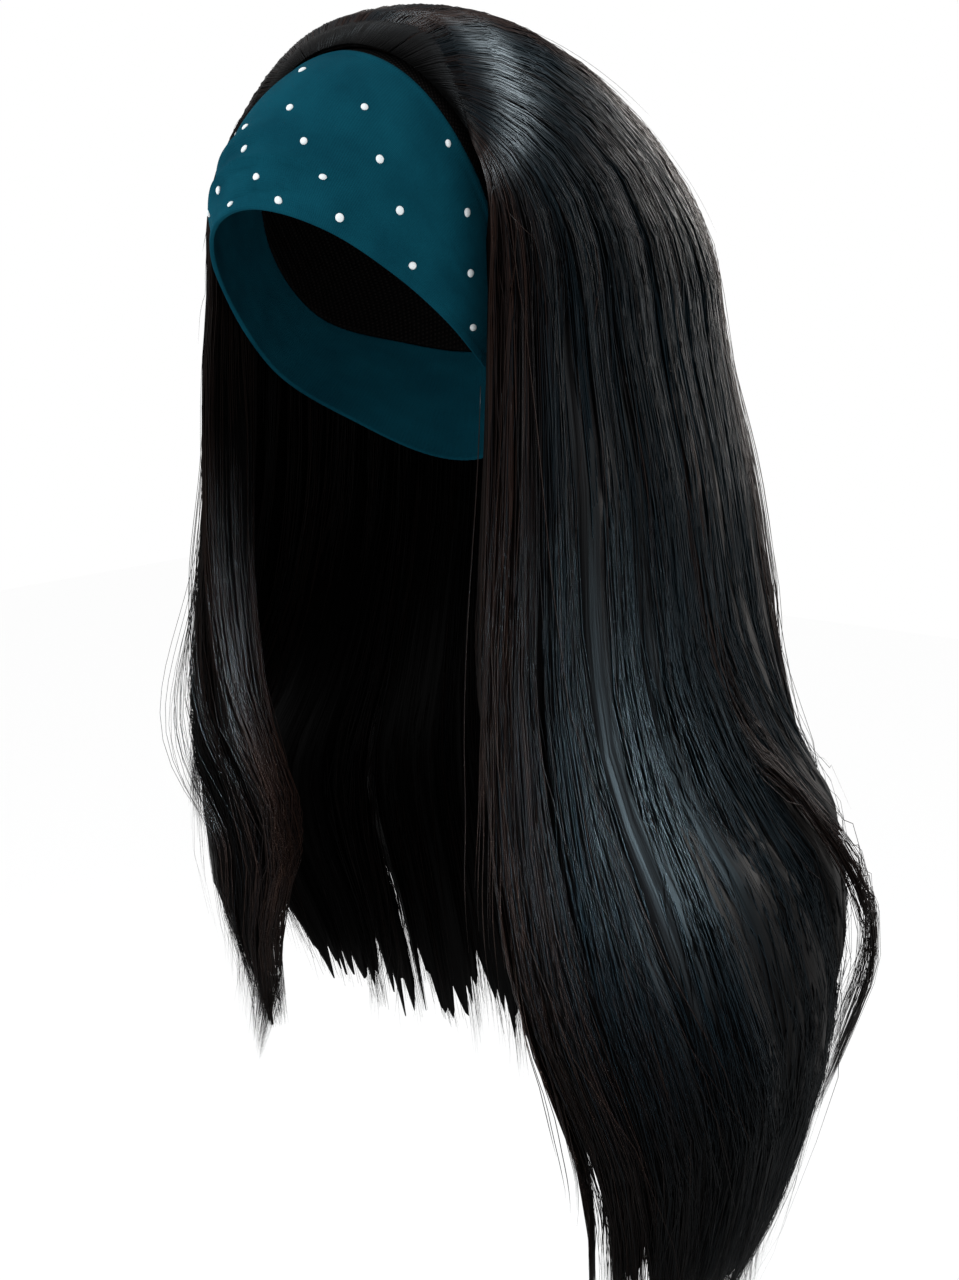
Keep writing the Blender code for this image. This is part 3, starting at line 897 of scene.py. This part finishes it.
# Chart of the dots that show: turn from the brow (degrees) and place across the band
DOT_CHART = (
    (3, 0.50), (13, 0.65), (23, 0.77), (34, 0.91),
    (23, 0.345), (35, 0.53), (49, 0.67), (65, 0.87),
    (48, 0.10), (67, 0.25), (83.5, 0.495), (100, 0.82),
    (-12.5, 0.565), (-8.8, 0.70), (1, 0.86), (11, 0.945),
    (-21, 0.85), (-12, 0.955), (-4, 0.22), (-30, 0.40),
)
# The rest follows a rule: columns of staggered dots from one turn to another
DOT_COLUMNS = ((-38, -172, -17, (0.28, 0.72)), (118, 176, 17, (0.30, 0.75)))
DOT_STAGGER = 0.12


def add_dots():
    chart = list(DOT_CHART)
    for first, last, step, rows in DOT_COLUMNS:
        for number, turn in enumerate(range(first, last, step)):
            chart += [(turn, row + DOT_STAGGER * (-1) ** number) for row in rows]
    turn = np.radians([dot[0] for dot in chart])
    across = np.array([dot[1] for dot in chart], float)

    def surface(turn, across):
        return band_point(turn, across, BAND_WALL + band_relief(turn, across))

    step = 0.004
    middle = surface(turn, across)
    round_way = unit(surface(turn + step, across) - surface(turn - step, across))
    down_way = unit(surface(turn, across + step) - surface(turn, across - step))
    out_way = unit(np.cross(down_way, round_way))
    out_way = out_way * np.sign(np.sum(out_way * (middle - CENTRE), -1))[:, None]
    angle = np.linspace(0, 2 * math.pi, DOT_SIDES, endpoint=False)
    tilt = np.linspace(0, math.pi / 2, DOT_RINGS)[:-1]
    rings = [(1.0, -0.4)] + [(math.cos(t), math.sin(t)) for t in tilt] + [(0.12, 1.0)]
    uneven = rng.uniform(0.92, 1.08, (len(chart), 1, 1))
    points = []
    for wide, high in rings:
        ring = (np.cos(angle)[None, :, None] * round_way[:, None]
                + np.sin(angle)[None, :, None] * down_way[:, None]) * DOT_RADIUS * wide * uneven
        points.append(middle[:, None] + ring + out_way[:, None] * DOT_RISE * high)
    points = np.stack(points, 1)
    rows = len(rings)
    cell = ring_faces(rows, DOT_SIDES, False)
    faces = []
    for number in range(len(chart)):
        first = number * rows * DOT_SIDES
        faces += (cell + first).tolist()
        faces.append(list(range(first + DOT_SIDES - 1, first - 1, -1)))
        faces.append(list(range(first + (rows - 1) * DOT_SIDES, first + rows * DOT_SIDES)))
    mesh = bpy.data.meshes.new("dots")
    mesh.from_pydata(points.reshape(-1, 3).tolist(), [], faces)
    mesh.shade_smooth()
    piece = bpy.data.objects.new("dots", mesh)
    bpy.context.scene.collection.objects.link(piece)
    shader = Shader("white_dot", (0.80, 0.84, 0.86), 0.4)
    speck = shader.node("ShaderNodeTexNoise", Scale=1400.0, Detail=2.0)
    shader.ramp(speck.outputs["Fac"], ((0.3, (0.62, 0.69, 0.72)), (0.6, (0.86, 0.89, 0.90))))
    shader.bump(speck.outputs["Fac"], 0.0002, 0.5)
    piece.data.materials.append(shader.material)
    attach(piece, "root")
    return piece


# The cap, with its rows of weft

CAP_TURNS = 110
CAP_ROWS = 60
WEFT_STEP = 0.0085
WEFT_RISE = 0.0007


def cap_material():
    """Dark stretch net with sewn tracks."""
    shader = Shader("cap_net", (0.007, 0.006, 0.006), 0.75)
    uv = shader.node("ShaderNodeUVMap", uv_map="OFBake")
    net = []
    for way in ("X", "Y"):
        wave = shader.node("ShaderNodeTexWave", Scale=70.0, Distortion=0.6, wave_type="BANDS",
                           bands_direction=way)
        shader.link(uv.outputs["UV"], wave.inputs["Vector"])
        net.append(wave)
    mesh = shader.node("ShaderNodeMath", operation="MULTIPLY")
    shader.link(net[0].outputs["Fac"], mesh.inputs[0])
    shader.link(net[1].outputs["Fac"], mesh.inputs[1])
    shader.ramp(mesh.outputs["Value"], ((0.1, (0.0015, 0.0013, 0.0013)), (0.8, (0.009, 0.0075, 0.007))))
    shader.bump(mesh.outputs["Value"], 0.0004)
    shader.principled.inputs["Specular IOR Level"].default_value = 0.03
    return shader.material


def add_cap():
    turn = np.linspace(-math.pi, math.pi, CAP_TURNS, endpoint=False)[None, :]
    share = np.linspace(0.012, 1, CAP_ROWS)[:, None]
    edge = rear_edge(turn) - SEAM_GAP / HEAD_DEPTH
    polar = edge * share
    track = np.abs(np.sin(math.pi * polar * HEAD_DEPTH / 2 / WEFT_STEP)) ** 6
    track = track * ease(share, 0.1, 0.2)
    outer = head_point(polar, turn, CAP_WALL + 0.0002 * track)
    inner = head_point(polar[::-1], turn, 0.0002 - WEFT_RISE * track[::-1])
    grid = np.concatenate([outer, inner])
    rows, columns = grid.shape[:2]
    faces = ring_faces(rows, columns, False)[:, ::-1].tolist()
    faces.append(list(range(columns)))
    faces.append(list(range(rows * columns - 1, (rows - 1) * columns - 1, -1)))
    mesh = bpy.data.meshes.new("cap_net")
    mesh.from_pydata(grid.reshape(-1, 3).tolist(), [], faces)
    mesh.shade_smooth()
    piece = bpy.data.objects.new("cap_net", mesh)
    bpy.context.scene.collection.objects.link(piece)
    radius = np.concatenate([share, share[::-1]]) * 0.24
    u = 0.25 + radius * np.cos(turn) + np.repeat([0, 0.5], CAP_ROWS)[:, None]
    v = np.broadcast_to(0.5 + radius * np.sin(turn), u.shape)
    add_uv(piece, np.stack([u, v], -1))
    piece.data.materials.append(cap_material())
    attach(piece, "root")
    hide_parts("wig_cap")
    return piece


band = add_band()
dots = add_dots()
cap = add_cap()


# Camera, floor and light

def add_camera():
    camera = bpy.data.objects.new("camera", bpy.data.cameras.new("camera"))
    bpy.context.scene.collection.objects.link(camera)
    camera.data.lens = CAMERA_LENS
    camera.data.sensor_width = SENSOR
    turn = Matrix([CAMERA_RIGHT, CAMERA_UP, [-value for value in CAMERA_FORWARD]]).transposed()
    camera.matrix_world = Matrix.Translation(CAMERA_PLACE) @ turn.to_4x4()
    bpy.context.scene.camera = camera


def add_light(name, place, target, size, power, colour, spread=180):
    """An area light aimed at a target, with its beam's spread in degrees."""
    lamp = bpy.data.lights.new(name, "AREA")
    lamp.spread = math.radians(spread)
    lamp.shape = "RECTANGLE"
    lamp.size, lamp.size_y = size
    lamp.energy = power
    lamp.color = colour
    holder = bpy.data.objects.new(name, lamp)
    bpy.context.scene.collection.objects.link(holder)
    way = unit(np.array(target) - np.array(place))
    beside = unit(np.cross(way, (0, 0, 1)))
    turn = Matrix([beside.tolist(), np.cross(beside, way).tolist(), (-way).tolist()]).transposed()
    holder.matrix_world = Matrix.Translation(place) @ turn.to_4x4()
    return holder


def hair_only(lamp):
    """Keep a lamp's light on the hair, because its power suits only near-black strands."""
    group = bpy.data.collections.new(lamp.name + "_on_hair")
    for piece in bpy.context.scene.collection.objects:
        if piece.type == "MESH" and piece.active_material in (STRAND, MASS):
            group.objects.link(piece)
    lamp.light_linking.receiver_collection = group


def add_stage():
    mesh = bpy.data.meshes.new("floor")
    reach = 6.0
    mesh.from_pydata([(-reach, -reach, FLOOR_HEIGHT), (reach, -reach, FLOOR_HEIGHT),
                      (reach, reach, FLOOR_HEIGHT), (-reach, reach, FLOOR_HEIGHT)],
                     [], [(0, 1, 2, 3)])
    floor = bpy.data.objects.new("floor", mesh)
    bpy.context.scene.collection.objects.link(floor)
    pale = Shader("floor", (0.98, 0.98, 0.98), 0.9)
    pale.principled.inputs["Specular IOR Level"].default_value = 0.0
    floor.data.materials.append(pale.material)
    world = bpy.data.worlds.new("studio")
    bpy.context.scene.world = world
    world.use_nodes = True
    background = world.node_tree.nodes["Background"]
    background.inputs["Color"].default_value = (1.0, 1.0, 1.0, 1)
    background.inputs["Strength"].default_value = 1.0
    bpy.context.scene.view_settings.view_transform = "Standard"


add_camera()
add_stage()
add_light("front", (-0.90, -1.25, 0.75), (0.0, -0.05, -0.08), (0.5, 0.5), 16, (0.88, 0.97, 1.0))
hair_only(add_light("key", (1.05, -0.35, 1.42), (0.06, 0.0, -0.15), (0.8, 0.6), 430,
                    (0.80, 0.93, 1.0)))
hair_only(add_light("low", (1.30, -0.20, -0.20), (0.13, -0.10, -0.40), (0.2, 0.15), 3.5,
                    (0.62, 0.86, 1.0), 15))
hair_only(add_light("rear", (0.95, 1.45, 0.40), (0.05, 0.10, -0.30), (1.0, 1.0), 150,
                    (1.0, 0.96, 0.92)))
